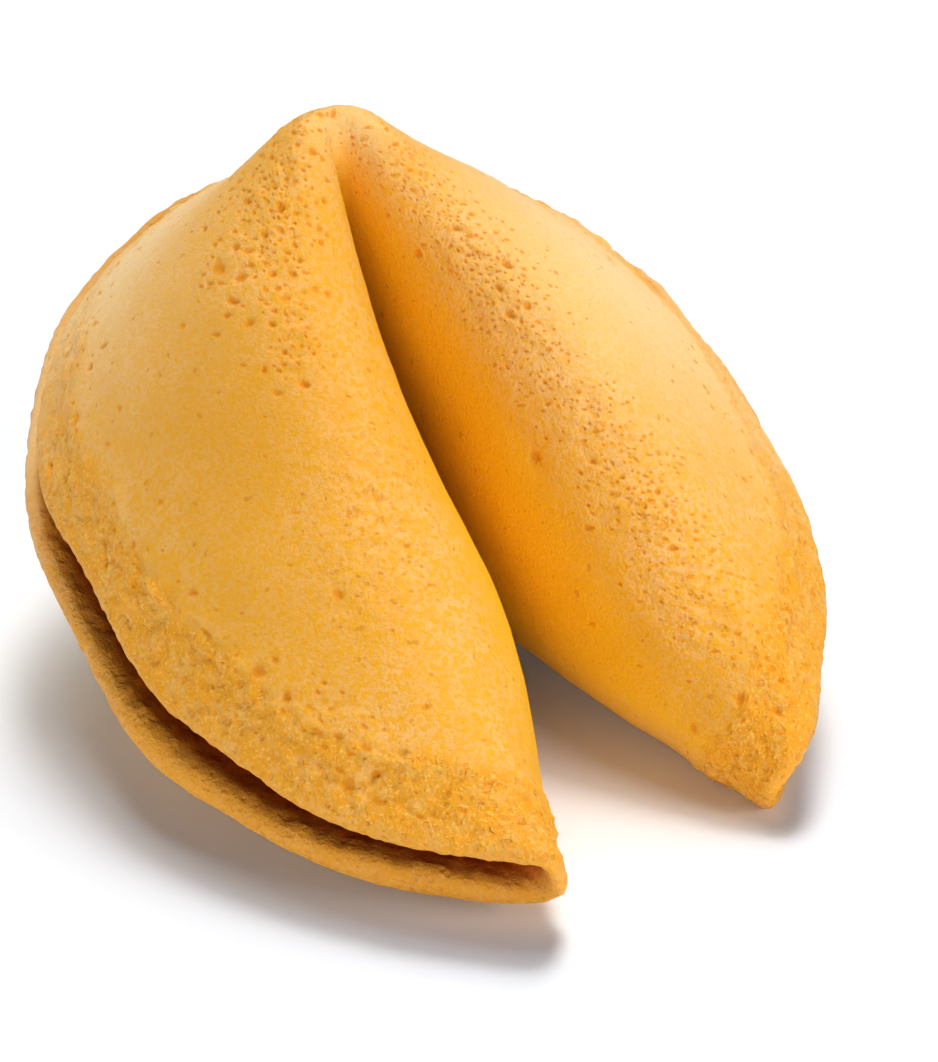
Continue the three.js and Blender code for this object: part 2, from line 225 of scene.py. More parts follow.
# ---- Colours of the crust, linear ----
COLOURS = {
    "golden": (0.80, 0.41, 0.09),
    "light": (0.85, 0.46, 0.14),
    "amber": (0.80, 0.35, 0.01),
    "yellow": (0.82, 0.38, 0.003),
    "pale": (0.92, 0.66, 0.32),
    "tanned": (0.66, 0.29, 0.01),
    # painted glow of light bounced between the walls in the notch
    "notch_glow": (0.92, 0.48, 0.004),
    "toasted": (0.84, 0.34, 0.006),
    # pale crumbs, and painted glints on the band's grain
    "crumb_and_glint": (0.92, 0.58, 0.16),
    # inner: the inner face's colour, darkened further as painted shade of the slit; inner_rim:
    # paler, along its edge and on the broken rim
    "inner": (0.50, 0.085, 0.0003),
    "inner_rim": (0.80, 0.34, 0.04),
    "fleck": (0.60, 0.22, 0.01),
    "pore": (0.80, 0.28, 0.002),
}
# Paler and browner patches of the outer face: place on the wafer, reach, strength.
PALE_PATCHES = (
    (18, 29, 11, 0.8),
    (-8, 40, 10, 0.85),
    (0, -32, 14, 0.6),
    (-15, -38, 14, 0.8),
    (28, 31, 9, 0.6),
    (20, -34, 12, 0.7),
    (0.5, 20.5, 3.5, 0.5),
)
TANNED_PATCHES = ((-20, 23, 8, 0.6), (-30, 20, 6, 0.3))
# Painted glow of light bounced between the walls in the notch, a deeper orange. It is measured from
# the fold along their top once that is drawn in by the inset: it starts outside that line and is
# full inside it.
NOTCH_GLOW_WALLS = {"inset": 1.0, "from": 1.5, "full": -6.0}
RIM_CRUMB_SIDE = 0.5  # how much of the inner face's colour, with its painted shade, the broken rim has

# ---- Material of the crust ----
# Noises: lumps in a millimetre, detail, roughness.
NOISES = {
    "blotches": (0.16, 2.0, 0.55),
    "mottling": (0.8, 4.0, 0.6),
    "speckles": (3.0, 2.0, 0.5),
    "grain": (5.5, 2.0, 0.6),
    "flecks": (1.7, 1.0, 0.3),
}
# Colour layers that follow a noise or a pore: value where each starts, value where it is full,
# strength.
LAYER_STEPS = {
    "blotches": (0.38, 0.62, 1.0),
    "mottling": (0.44, 0.66, 0.45),
    "speckles": (0.46, 0.6, 0.8),
    "grain": (0.5, 0.62, 0.6),
    "toasted": (0.4, 0.56, 1.0),
    "glints": (0.54, 0.68, 0.6),
    "flecks": (0.72, 0.78, 0.55),
    "pore": (0.05, 0.7, 0.8),
    "grooves": (0.44, 0.3, 0.4),
}
# Strength of the other layers.
LAYER_STRENGTH = {"notch_glow": 0.9, "band": 0.35, "toasted": 0.75, "crumbs": 0.25, "holes": 0.6}
HOLE_CELLS = 1.9  # pinholes in a millimetre
HOLE_STEPS = (0.9, 0.62)  # uneven distance from a pinhole's middle: its rim, its floor
# Bumps too fine for the mesh: strength, height in millimetres.
BUMPS = {"grain": (0.8, 0.13), "holes": (0.6, -0.1), "crumbly_band": (0.8, 0.26)}
ROUGHNESS_STEPS = (0.3, 0.7, 0.66, 0.5)  # from and full value of the mottling, most, least
SPECULAR = 0.18
SUBSURFACE = {"weight": 0.15, "radius": (1.0, 0.45, 0.12), "millimetres": 0.8}

# ---- Mesh ----
EDGE_POINTS = 1050
EDGE_CLEARANCE = 0.16
GRID_MARGIN = 4.0  # how far the grids reach past the wafer's radius
MERGE_DISTANCE = 1e-7  # points closer than this are taken as one
BAND_SPACING = 0.255
FACE_SPACING = 0.42
BACK_SPACING = 0.43  # all over the back sheet
POROUS_SPACING = 0.27  # where at least this share is porous:
POROUS_FROM = 0.3
INNER_SPACING = 0.9
INNER_BAND = 3.2  # width of the finer band on the inner face
INNER_RIM = 0.9  # width of its paler part
# Rings of points round a pore: share of its radius, count.
PORE_RINGS = ((0.5, 5), (0.9, 8), (1.3, 8))
RING_ROOM = 0.35  # free of grid points outside the last ring, of the pore's radius
INNER_ROUGHNESS = (0.35, 0.65)  # of the inner face: everywhere, and more along the edge
RIM_ROWS = 4  # rows of triangles round the broken rim
RIM_ROUND = 0.35  # how far the rim stands out, of the thickness
RIM_CRUMBS = ((0.9, 0.05, 51), (0.45, 0.06, 52))
RIM_ROW_SHIFT = 17  # between one row's crumbs and the next one's, along x
RIM_STEP = 0.25  # inwards from the edge, to find the direction out of the sheet

# ---- Studio ----
AMBIENT = 0.1
AMBIENT_TINT = (0.0, 0.45, 1.0)  # cools the shadows that the cookie's own colour warms
FLOOR_COLOUR = (0.88, 0.93, 0.97)
FLOOR_ROUGHNESS = 0.8
FLOOR_HALF_SIZE = 3.0  # metres
LIGHT_TINT = (1.0, 0.955, 0.92)
# Azimuth (0 in front, positive to the right), elevation, distance, size, watts.
LIGHTS = {
    "key": (130, 76, 1.0, 0.3, 4.2),
    "back": (142, 58, 1.0, 0.35, 2.4),
    "behind": (180, 66, 1.0, 0.35, 1.3),
    "overhead": (0, 89, 1.0, 0.45, 2.4),
    "front": (35, 16, 1.0, 0.5, 4.9),
    "fill": (-24, 11, 1.0, 0.5, 4.2),
    "left": (-110, 9, 1.0, 0.5, 2.6),
}

# ---- Camera ----
CAMERA_AZIMUTH = -24.46
CAMERA_ELEVATION = 25.61
CAMERA_ROLL = 1.86
CAMERA_DISTANCE = 332.45
CAMERA_AIM = (3.8, 5.19, 7.32)
CAMERA_LENS = 134.14
SENSOR_HEIGHT = 24.0
CLIP_START = 0.01  # metres


def fade(distance, reach):
    """1 at no distance, falling smoothly to nearly 0 at twice the reach."""
    return np.exp(-((distance / reach) ** 2))


# ---- The folded sheet ----
def outline_radius(angle):
    """Distance from the middle of the crease to the wafer's edge."""
    scale = 1.0
    for waves, cos_part, sin_part in OUT_OF_ROUND:
        scale = scale + cos_part * np.cos(waves * angle) + sin_part * np.sin(waves * angle)
    radius = RADIUS * scale
    for waves, depth, phase in RIM_RIPPLES:
        radius = radius + depth * np.sin(waves * angle + phase)
    for at, spread, height in EDGE_BUMPS:
        apart = np.arctan2(np.sin(angle - at), np.cos(angle - at))
        radius = radius + height * fade(apart, spread)
    return radius


def cone_table(side, face):
    """The cone that one quarter of the sheet forms: tilt, turn and length of its rulings."""
    side_sign = -1 if side == "left" else 1
    face_sign = 1 if face == "front" else -1
    height = HALF_HEIGHT[face]
    centre_x = side_sign * WAFER_CENTRE[0] - CREASE_HALF_WIDTH
    centre_y = face_sign * WAFER_CENTRE[1] - height
    fold = math.pi / 2 + math.atan2(height - TIP_HALF_GAP, RADIUS + centre_x)
    direction = np.linspace(0, fold, CONE_STEPS + 1)
    along = np.sin(direction) * centre_x + np.cos(direction) * centre_y
    length = along + np.sqrt(RADIUS**2 - centre_x**2 - centre_y**2 + along**2)
    gap = TIP_HALF_GAP + (CREST_HALF_GAP - TIP_HALF_GAP) * (1 - direction / fold) ** 2
    tilt = np.arccos(np.clip((height - gap) / length, -1, 1))
    tilt = np.maximum(tilt, FLATTEST_TILT)
    tilt_rate = np.gradient(tilt, direction)
    turn_rate = np.sqrt(np.maximum(1 - tilt_rate**2, 0)) / np.sin(tilt)
    step = direction[1]
    turn = np.concatenate([[0], np.cumsum(0.5 * (turn_rate[1:] + turn_rate[:-1]) * step)])
    turn *= math.radians(LOBE_TURN[side]) / turn[-1]
    return {"fold": fold, "direction": direction, "length": length, "tilt": tilt, "turn": turn}


CONES = {(side, face): cone_table(side, face) for side in SIDES for face in FACES}


def swelling(from_crease):
    """Rises from the crease to 1 in the middle of the wall and falls to 0 at its tip."""
    return np.sin(np.pi * np.minimum(from_crease / RADIUS, 1) ** SWELL_SKEW) ** 2


def sharp_quarter(side, face, x, y):
    """Folded place of points on one quarter of the wafer, with sharp folds."""
    side_sign = -1 if side == "left" else 1
    face_sign = 1 if face == "front" else -1
    cone = CONES[side, face]
    height = HALF_HEIGHT[face]
    from_crease = np.maximum(np.abs(x) - CREASE_HALF_WIDTH, 0)
    away = np.abs(y)

    wall_turn = math.radians(LOBE_TURN[side])
    reach = RADIUS + side_sign * WAFER_CENTRE[0] - CREASE_HALF_WIDTH
    half_wall = height - (height - TIP_HALF_GAP) * np.minimum(from_crease / reach, 1)
    swell = WALL_BULGE[side] * swelling(from_crease) * np.maximum(1 - (away / half_wall) ** 2, 0)
    wall = (
        from_crease * math.sin(wall_turn) - swell,
        from_crease * math.cos(wall_turn),
        away,
    )

    direction = np.arctan2(from_crease, away - height)
    distance = np.hypot(from_crease, away - height)
    tilt = np.interp(direction, cone["direction"], cone["tilt"])
    turn = np.interp(direction, cone["direction"], cone["turn"])
    out = distance / np.interp(direction, cone["direction"], cone["length"])
    around = direction / cone["fold"]
    across = (
        distance * np.sin(tilt)
        + CREST_FLARE * (1 - around) ** 2 * out**2
        + SIDE_BULGE[side] * np.sin(np.pi * around) * out**2
    )
    belly = FACE_BELLY[side, face] * np.sin(np.pi * around) * 4 * out * (1 - out)
    sheet = (
        across * np.sin(turn),
        across * np.cos(turn),
        height - distance * np.cos(tilt) + belly,
    )

    on_wall = direction > cone["fold"]
    u, v, w = (np.where(on_wall, a, b) for a, b in zip(wall, sheet))
    u = u + np.minimum(np.abs(x), CREASE_HALF_WIDTH)
    return np.stack([side_sign * u, v, face_sign * w], -1)


def sharp_point(x, y):
    """Folded place of wafer points with sharp folds."""
    folded = np.zeros(x.shape + (3,))
    for side in SIDES:
        for face in FACES:
            here = ((x < 0) == (side == "left")) & ((y >= 0) == (face == "front"))
            folded[here] = sharp_quarter(side, face, x[here], y[here])
    return folded


def rounding_samples():
    """Weighted places spread evenly over a disc round a point, as parts of the rounding radius."""
    samples = []
    for i in range(KERNEL["count"]):
        share = (i + 0.5) / KERNEL["count"]
        radius = KERNEL["radius"] * math.sqrt(share)
        angle = i * GOLDEN_ANGLE
        weight = 2 * (1 - share) / KERNEL["count"]
        samples.append((radius * math.cos(angle), radius * math.sin(angle), weight))
    return samples


def bend(points, x):
    """Uneven bending of the whole: each lobe is bowed, leaned, twisted and shifted a little."""
    u, v, w = np.moveaxis(points, -1, 0)
    out = np.maximum(-v / RADIUS, 0)
    left = 1 / (1 + np.exp(2 * x / BEND_BLEND))
    right = 1 - left
    bow = BOW["left"] * left - BOW["right"] * right
    twist = np.radians(TWIST["left"] * left + TWIST["right"] * right) * out
    seam_shift = SEAM_SHIFT["left"] * left + SEAM_SHIFT["right"] * right
    low = np.clip(-w / LEAN["height"], 0, 1)
    u = u + bow * 4 * out * (1 - out) + LEAN["u"] * w / LEAN["height"] + BACK_KNOB_SHIFT * low**3
    v = v + LEAN["v"] * w / LEAN["height"]
    return np.stack(
        [
            u * np.cos(twist) - w * np.sin(twist),
            v,
            u * np.sin(twist) + w * np.cos(twist) + seam_shift * out**2,
        ],
        -1,
    )


def lobe_rounding(x, y):
    """How round the lobe is made at a wafer point, beyond the rounding of its folds."""
    out = np.minimum(np.abs(x) / RADIUS, 1)
    height = np.where(y > 0, HALF_HEIGHT["front"], HALF_HEIGHT["back"])
    beyond_fold = np.maximum(np.abs(y) - height * (1 - out), 0)
    left, right = LOBE_ROUNDING["left"], LOBE_ROUNDING["right"]
    most = left + (right - left) / (1 + np.exp(-2 * x / BEND_BLEND))
    profile = (4 * out * (1 - out)) ** LOBE_ROUNDING["profile"]
    in_front = 1 / (1 + np.exp(-y / BEND_BLEND))
    profile = profile * (1 - in_front * fade(x, LOBE_ROUNDING["start"]))
    return most * profile * fade(beyond_fold, LOBE_ROUNDING["fade"])


def sheet_point(x, y):
    """Middle of the folded sheet with its folds rounded off."""
    inwards = 1 - np.minimum(np.abs(x) / RADIUS, 1)
    lobe = lobe_rounding(x, y)
    at_tips = ROUNDING["at_tips"]
    radius_x = ROUNDING["along_crease"] * inwards + at_tips * (1 - inwards)
    radius_x = radius_x + np.minimum(lobe, LOBE_ROUNDING["share"] * np.abs(x))
    radius_y = ROUNDING["at_knob"] * inwards**2 + at_tips * (1 - inwards**2) + lobe
    points = 0
    for sample_x, sample_y, weight in rounding_samples():
        points = points + weight * sharp_point(x + radius_x * sample_x, y + radius_y * sample_y)
    from_knob = np.hypot(x, y - HALF_HEIGHT["front"])
    from_neck = np.hypot((x - NECK["x"]) / NECK["half_x"], (y - NECK["y"]) / NECK["half_y"])
    points[..., 2] += KNOB["height"] * fade(from_knob, KNOB["width"])
    points[..., 2] -= NECK["depth"] * fade(from_neck, 1)
    return bend(points, x)


def sheet_normal(x, y):
    """Direction square to the sheet, towards its outer face."""
    along_x = sheet_point(x + SLOPE_STEP, y) - sheet_point(x - SLOPE_STEP, y)
    along_y = sheet_point(x, y + SLOPE_STEP) - sheet_point(x, y - SLOPE_STEP)
    normal = np.cross(along_x, along_y)
    return normal / np.linalg.norm(normal, axis=-1, keepdims=True)


def from_edge(x, y):
    """How far inside the wafer's edge a point lies."""
    return outline_radius(np.arctan2(y, x)) - np.hypot(x, y)


def crust_height(x, y):
    """The solid's own baked relief on the outer face."""
    height = CRUST_BAND["height"] * fade(from_edge(x, y) - CRUST_BAND["inset"], CRUST_BAND["width"])
    for along_x, along_y, swell, phase in SWELLINGS:
        height = height + swell * np.sin(along_x * x + along_y * y + phase)
    return height


def half_thickness(x, y):
    """Half thicknesses inside and outside the middle, thinner in the tight folds."""
    end = np.where(y > 0, HALF_HEIGHT["front"], HALF_HEIGHT["back"])
    tip = outline_radius(np.where(x < 0, math.pi, 0.0))
    at_end = fade(np.hypot(x, np.abs(y) - end), THIN_REACH["crease_ends"])
    at_tip = fade(np.hypot(np.abs(x) - tip, y), THIN_REACH["tips"])
    at_bottom = np.where(np.abs(y) < end, fade(x, THIN_REACH["crease_bottom"]), 0)
    inside = THICKNESS / 2 * (1 - DRAWN_THIN["crease_ends"] * at_end - DRAWN_THIN["tips"] * at_tip)
    outside = THICKNESS / 2 * (1 - DRAWN_THIN["crease_bottom"] * at_bottom)
    return inside, outside + crust_height(x, y) * (1 - at_bottom)


# ---- Relief ----
def smooth_step(value, low, high):
    """0 below low, 1 above high, smooth between them; low may be the larger one."""
    share = np.clip((value - low) / (high - low), 0, 1)
    return share**2 * (3 - 2 * share)


def noise(x, y, size, seed):
    """Smooth noise of about -1 to 1 over the wafer, with lumps of this size."""
    turn = np.random.default_rng(seed).uniform(0, 2 * np.pi, (NOISE_TABLE, NOISE_TABLE))
    slope_x, slope_y = np.cos(turn), np.sin(turn)
    column, row = np.floor(x / size).astype(int), np.floor(y / size).astype(int)
    across, along = x / size - column, y / size - row

    def corner(step_x, step_y):
        at = (column + step_x) % NOISE_TABLE, (row + step_y) % NOISE_TABLE
        return slope_x[at] * (across - step_x) + slope_y[at] * (along - step_y)

    blend_x, blend_y = smooth_step(across, 0, 1), smooth_step(along, 0, 1)
    near = corner(0, 0) * (1 - blend_x) + corner(1, 0) * blend_x
    far = corner(0, 1) * (1 - blend_x) + corner(1, 1) * blend_x
    return NOISE_GAIN * (near * (1 - blend_y) + far * blend_y)


def layered(x, y, layers):
    """Noise of several sizes added up: size, height, seed of each."""
    return sum(height * noise(x, y, size, seed) for size, height, seed in layers)


def ragged_radius(angle):
    """The wafer's edge with its bites and crumbs."""
    radius = outline_radius(angle)
    bites = layered(radius * np.cos(angle), radius * np.sin(angle), RAGGED_EDGE)
    return radius + bites - sum(height for _, height, _ in RAGGED_EDGE) / EDGE_DRAWN_IN


def border_wander(x, y):
    """How far the band's inner border and the crumb lines wander from their course."""
    return BAND_BORDER * noise(x, y, *BAND_WANDER)


def band_share(x, y):
    """1 in the rough brown band along the edge, 0 inside its wandering border."""
    border = BAND_WIDTH + border_wander(x, y)
    end, full = BAND_FADE
    return smooth_step(from_edge(x, y), border + end, border + full)


def ripple_turn(x):
    """Direction on the wafer in which ripples are drawn out."""
    return np.radians(np.where(x < 0, PORE_TURN["left"], PORE_TURN["right"]))


def pore_turn(x, y):
    """Direction on the wafer in which a pore is drawn out: along the edge if it is near."""
    near = from_edge(x, y) < BAND_WIDTH + BAND_BORDER
    return np.where(near, np.arctan2(y, x) + np.pi / 2, ripple_turn(x))


def mean_radius(radius, stretch):
    """Mean of half the width and half the length of a pore."""
    return radius * (1 + stretch) / 2


def scatter_pores():
    """Pores of the outer face, one a row: x, y, radius, stretch, phase. The pits come first."""
    rng = np.random.default_rng(SCATTER_SEED)
    pores = [
        (x, y, radius, rng.uniform(*PIT_STRETCH), rng.uniform(*PORE_PHASES))
        for x, y, radius, _ in PITS
    ]

    def draw(least, greatest, rarity):
        """Random value, the nearer the least one the higher the rarity."""
        return least + (greatest - least) * rng.uniform() ** rarity

    def try_place(x, y, radius):
        """Adds a pore here, unless it comes too near the edge or another one."""
        stretch = draw(*PORE_STRETCH, LONG_RARITY)
        reach = mean_radius(radius, stretch)
        if from_edge(x, y) < PORE_EDGE_ROOM * reach + EDGE_CLEARANCE:
            return
        taken = np.array(pores)
        apart = np.hypot(taken[:, 0] - x, taken[:, 1] - y)
        if (apart > PORE_SPACING * (mean_radius(taken[:, 2], taken[:, 3]) + reach)).all():
            pores.append((x, y, radius, stretch, rng.uniform(*PORE_PHASES)))

    for x, y, half_x, half_y, count, *sizes in PORE_CLUSTERS:
        spread_x, spread_y = half_x / CLUSTER_WIDTH, half_y / CLUSTER_WIDTH
        for _ in range(count):
            radius = draw(*sizes, LARGE_RARITY["clusters"])
            try_place(rng.normal(x, spread_x), rng.normal(y, spread_y), radius)
    count, *sizes = SCATTERED_PORES
    for _ in range(count):
        angle, out = rng.uniform(0, 2 * math.pi), RADIUS * math.sqrt(rng.uniform())
        radius = draw(*sizes, LARGE_RARITY["scattered"])
        try_place(out * math.cos(angle), out * math.sin(angle), radius)
    count, *sizes = EDGE_PORES
    for _ in range(count):
        angle = rng.uniform(0, 2 * math.pi)
        out = outline_radius(angle) - rng.uniform(*EDGE_PORES_REACH)
        radius = draw(*sizes, LARGE_RARITY["edge"])
        try_place(out * math.cos(angle), out * math.sin(angle), radius)
    return np.array(pores)


def point_tree(points):
    """Search tree of wafer points."""
    tree = KDTree(len(points))
    for i, (x, y) in enumerate(points):
        tree.insert((x, y, 0), i)
    tree.balance()
    return tree


def pore_relief(points, pores):
    """Depth of the pores at wafer points, and how far inside a pore each point is, 0 to 1."""
    height = np.zeros(len(points))
    inside = np.zeros(len(points))
    tree = point_tree(points)
    turns = pore_turn(*pores[:, :2].T)
    for (x, y, radius, stretch, phase), turn in zip(pores, turns):
        found = [i for _, i, _ in tree.find_range((x, y, 0), PORE_REACH * radius * stretch)]
        dx, dy = (points[found] - (x, y)).T
        along = (dx * np.cos(turn) + dy * np.sin(turn)) / stretch
        across = dy * np.cos(turn) - dx * np.sin(turn)
        angle = np.arctan2(across, along)
        uneven = 1
        for waves, depth in enumerate(PORE_WOBBLE, 2):
            uneven = uneven + depth * np.cos(waves * (angle + phase))
        share = np.hypot(along, across) / (radius * uneven)
        bowl = np.maximum(1 - share**2, 0)
        lip = PORE_LIP["height"] * fade(share - PORE_LIP["crest"], PORE_LIP["width"])
        height[found] += radius * (lip - PORE_DEPTH * bowl)
        inside[found] = np.maximum(inside[found], bowl)
    return height, inside


def porous_share(x, y):
    """1 in the middle of the pore clusters, falling off round them."""
    share = 0
    for cluster_x, cluster_y, half_x, half_y, *_ in PORE_CLUSTERS:
        away = np.hypot((x - cluster_x) / half_x, (y - cluster_y) / half_y)
        share = np.maximum(share, fade(away, 1.0))
    return share


def ripples(x, y):
    """Ripples of the crust among the pores, drawn out along them."""
    turn = ripple_turn(x)
    along = (x * np.cos(turn) + y * np.sin(turn)) / RIPPLE_STRETCH
    across = y * np.cos(turn) - x * np.sin(turn)
    off_crease = 1 - fade(x, SMOOTH_CREASE)
    return porous_share(x, y) * off_crease * layered(along, across, POROUS_RIPPLES)


def band_lumps(x, y):
    """Lumps of the rough band, drawn out along the edge."""
    round_the_edge = np.arctan2(y, x) * RADIUS / BAND_STRETCH
    calm = BAND_CALM["share"] * smooth_step(from_edge(x, y), BAND_CALM["reach"], 0)
    return layered(round_the_edge, from_edge(x, y), BAND_ROUGHNESS) * (1 - calm)


def crumb_lines(x, y):
    """Height of the broken lines of crumbs along the edge."""
    height = 0
    for distance, width, crest, seed in CRUMB_LINES:
        breaks = [(size, share, seed + i) for i, (size, share) in enumerate(CRUMB_BREAKS)]
        broken = smooth_step(layered(x, y, breaks), *CRUMB_SHOWS)
        off_course = from_edge(x, y) - (distance + border_wander(x, y))
        height = height + crest * broken * fade(off_course, width)
    return height


def relief(x, y):
    """Fine baked relief of the outer face, without its pores."""
    height = layered(x, y, UNEVENNESS) + band_share(x, y) * band_lumps(x, y) + ripples(x, y)
    height = height + crumb_lines(x, y)
    for pit_x, pit_y, _, dent in PITS:
        if dent:
            height = height - DENT_DEPTH * fade(np.hypot(x - pit_x, y - pit_y), dent)
    return height


# ---- Mesh over the wafer ----
def edge_outline():
    """Wafer points of the ragged edge, in turn."""
    angle = 2 * np.pi * np.arange(EDGE_POINTS) / EDGE_POINTS
    radius = ragged_radius(angle)
    return np.stack([radius * np.cos(angle), radius * np.sin(angle)], -1)


def hexagonal_grid(spacing, narrow, wide):
    """Points of a hexagonal grid that lie between two distances from the edge."""
    reach = RADIUS + GRID_MARGIN
    rows = np.arange(-reach, reach, spacing * math.sqrt(3) / 2)
    columns = np.arange(-reach, reach, spacing)
    x, y = np.meshgrid(columns, rows)
    x[::2] += spacing / 2
    points = np.stack([x.ravel(), y.ravel()], -1)
    angle = np.arctan2(points[:, 1], points[:, 0])
    inside = ragged_radius(angle) - np.hypot(*points.T)
    return points[(inside > narrow) & (inside <= wide)]


def triangles(points):
    """Triangles over wafer points whose first ones are the outline, all turned the same way."""
    outline = [(i, (i + 1) % EDGE_POINTS) for i in range(EDGE_POINTS)]
    inside_outline = 1
    corners = [Vector(point) for point in points]
    result = delaunay_2d_cdt(corners, outline, [], inside_outline, MERGE_DISTANCE)
    faces = np.array(result[2])
    a, b, c = (points[faces[:, i]] for i in range(3))
    turned = np.cross(b - a, c - a) < 0
    faces[turned] = faces[turned][:, ::-1]
    return faces


def outer_points(pores):
    """Wafer points of the outer face: the edge, rings round the pores and grids between them."""
    border = BAND_WIDTH + BAND_FADE[0]
    band = hexagonal_grid(BAND_SPACING, EDGE_CLEARANCE, border)
    wide = hexagonal_grid(FACE_SPACING, border, math.inf)
    fine = hexagonal_grid(POROUS_SPACING, border, math.inf)
    back = hexagonal_grid(BACK_SPACING, EDGE_CLEARANCE, math.inf)
    grid = np.concatenate(
        [
            band[band[:, 1] >= 0],
            wide[(wide[:, 1] >= 0) & (porous_share(*wide.T) < POROUS_FROM)],
            fine[(fine[:, 1] >= 0) & (porous_share(*fine.T) >= POROUS_FROM)],
            back[back[:, 1] < 0],
        ]
    )
    tree = point_tree(grid)
    kept = np.ones(len(grid), dtype=bool)
    rings = []
    for (x, y, radius, stretch, _), turn in zip(pores, pore_turn(*pores[:, :2].T)):
        rings.append([(x, y)])
        for share, count in PORE_RINGS:
            angle = 2 * np.pi * (np.arange(count) + share) / count
            along, across = stretch * np.cos(angle), np.sin(angle)
            ring_x = along * np.cos(turn) - across * np.sin(turn)
            ring_y = along * np.sin(turn) + across * np.cos(turn)
            rings.append(share * radius * np.stack([ring_x, ring_y], -1) + (x, y))
        reach = (PORE_RINGS[-1][0] + RING_ROOM) * mean_radius(radius, stretch)
        for _, i, _ in tree.find_range((x, y, 0), reach):
            kept[i] = False
    return np.concatenate([edge_outline()] + rings + [grid[kept]])


def inner_points():
    """Wafer points of the inner face, finer along the edge, where the slit shows it."""
    return np.concatenate(
        [
            edge_outline(),
            hexagonal_grid(BACK_SPACING, EDGE_CLEARANCE, INNER_BAND),
            hexagonal_grid(INNER_SPACING, INNER_BAND, math.inf),
        ]
    )


def inner_relief(x, y):
    """Rough crumb of the inner face, strongest along the edge."""
    rough = layered(x, y, BAND_ROUGHNESS) + layered(x, y, UNEVENNESS)
    everywhere, at_edge = INNER_ROUGHNESS
    return rough * (everywhere + at_edge * fade(from_edge(x, y), INNER_BAND))


def rim_rows(middle, normal, outside, inside):
    """The rounded crumbly edge, row by row from the outer face to the inner one."""
    x, y = edge_outline().T
    inwards = 1 - RIM_STEP / RADIUS
    outwards = middle - sheet_point(x * inwards, y * inwards)
    outwards /= np.linalg.norm(outwards, axis=1, keepdims=True)
    rows = []
    for row in range(1, RIM_ROWS):
        angle = math.pi * row / RIM_ROWS
        across = np.where(math.cos(angle) > 0, outside, inside) * math.cos(angle)
        crumbs = layered(x + RIM_ROW_SHIFT * row, y, RIM_CRUMBS)
        reach = THICKNESS * RIM_ROUND * math.sin(angle) + crumbs
        rows.append(middle + normal * across[:, None] + outwards * reach[:, None])
    return rows


# ---- Values that the material reads ----
def notch_glow_share(x, y):
    """1 on the walls deep in the notch, where a deeper orange is painted for the light bounced
    between them.
    """
    height = np.where(y > 0, HALF_HEIGHT["front"], HALF_HEIGHT["back"])
    height = height - NOTCH_GLOW_WALLS["inset"]
    beyond_fold = np.abs(y) - height * (1 - np.minimum(np.abs(x) / RADIUS, 1))
    return smooth_step(beyond_fold, NOTCH_GLOW_WALLS["from"], NOTCH_GLOW_WALLS["full"])


def patches(x, y, places):
    """1 in the middle of strong patches, falling off round each."""
    share = 0 * x
    for patch_x, patch_y, reach, strength in places:
        share = np.maximum(share, strength * fade(np.hypot(x - patch_x, y - patch_y), reach))
    return share


def surface_values(outer_wafer, rim_wafer, inner_wafer, in_pore):
    """What the material reads from the mesh, at each point of its three parts."""
    x, y = outer_wafer.T
    pale, rim_pale = patches(x, y, PALE_PATCHES), patches(*rim_wafer.T, PALE_PATCHES)
    inner_band = fade(from_edge(*inner_wafer.T), INNER_RIM)
    values = {  # on the outer face, the rim and the inner face
        "band": (band_share(x, y) * (1 - pale), 1 - rim_pale, inner_band),
        "pore": (in_pore, 0, 0),
        "porous": (porous_share(x, y), 0, 0),
        "notch_glow": (notch_glow_share(x, y), 0, 0),
        "pale": (pale, rim_pale, 0),
        "tanned": (patches(x, y, TANNED_PATCHES), 0, 0),
        "crumbs": (crumb_lines(x, y) / FULL_CRUMBS, 0, 0),
        "inner": (0, RIM_CRUMB_SIDE * (1 - rim_pale), 1),
    }
    counts = [len(wafer) for wafer in (outer_wafer, rim_wafer, inner_wafer)]
    return {
        name: np.concatenate([np.broadcast_to(part, count) for part, count in zip(parts, counts)])
        for name, parts in values.items()
    }


# ---- The whole mesh ----
def inner_face(wafer):
    """Folded points of the inner face, plain and with its rough crumb."""
    x, y = wafer.T
    inside, _ = half_thickness(x, y)
    normal = sheet_normal(x, y)
    plain = sheet_point(x, y) - normal * inside[:, None]
    return plain, plain - normal * inner_relief(x, y)[:, None]


def joining_faces(starts):
    """Triangles between rings of edge points, given the number of each ring's first point."""
    here = np.arange(EDGE_POINTS)
    after = (here + 1) % EDGE_POINTS
    faces = []
    for start, below in zip(starts, starts[1:]):
        faces.append(np.stack([start + here, below + here, below + after], -1))
        faces.append(np.stack([start + here, below + after, start + after], -1))
    return faces


def cookie_mesh():
    """Folded points, triangles and surface values of the whole cookie, and its plain points."""
    pores = scatter_pores()
    wafer, inner_wafer = outer_points(pores), inner_points()
    x, y = wafer.T
    depth, in_pore = pore_relief(wafer, pores)
    middle, normal = sheet_point(x, y), sheet_normal(x, y)
    inside, outside = half_thickness(x, y)
    plain_outer = middle + normal * outside[:, None]
    outer = plain_outer + normal * (relief(x, y) + depth)[:, None]
    plain_inner, inner = inner_face(inner_wafer)
    edge = slice(0, EDGE_POINTS)
    rows = rim_rows(middle[edge], normal[edge], outside[edge], inside[edge])

    starts = [0] + [len(outer) + i * EDGE_POINTS for i in range(RIM_ROWS)]
    faces = [triangles(wafer), triangles(inner_wafer)[:, ::-1] + starts[-1]]
    faces += joining_faces(starts)
    rim_wafer = np.tile(wafer[edge], (len(rows), 1))
    values = surface_values(wafer, rim_wafer, inner_wafer, in_pore)
    points = np.concatenate([outer] + rows + [inner])
    return points, np.concatenate(faces), values, np.concatenate([plain_outer, plain_inner])


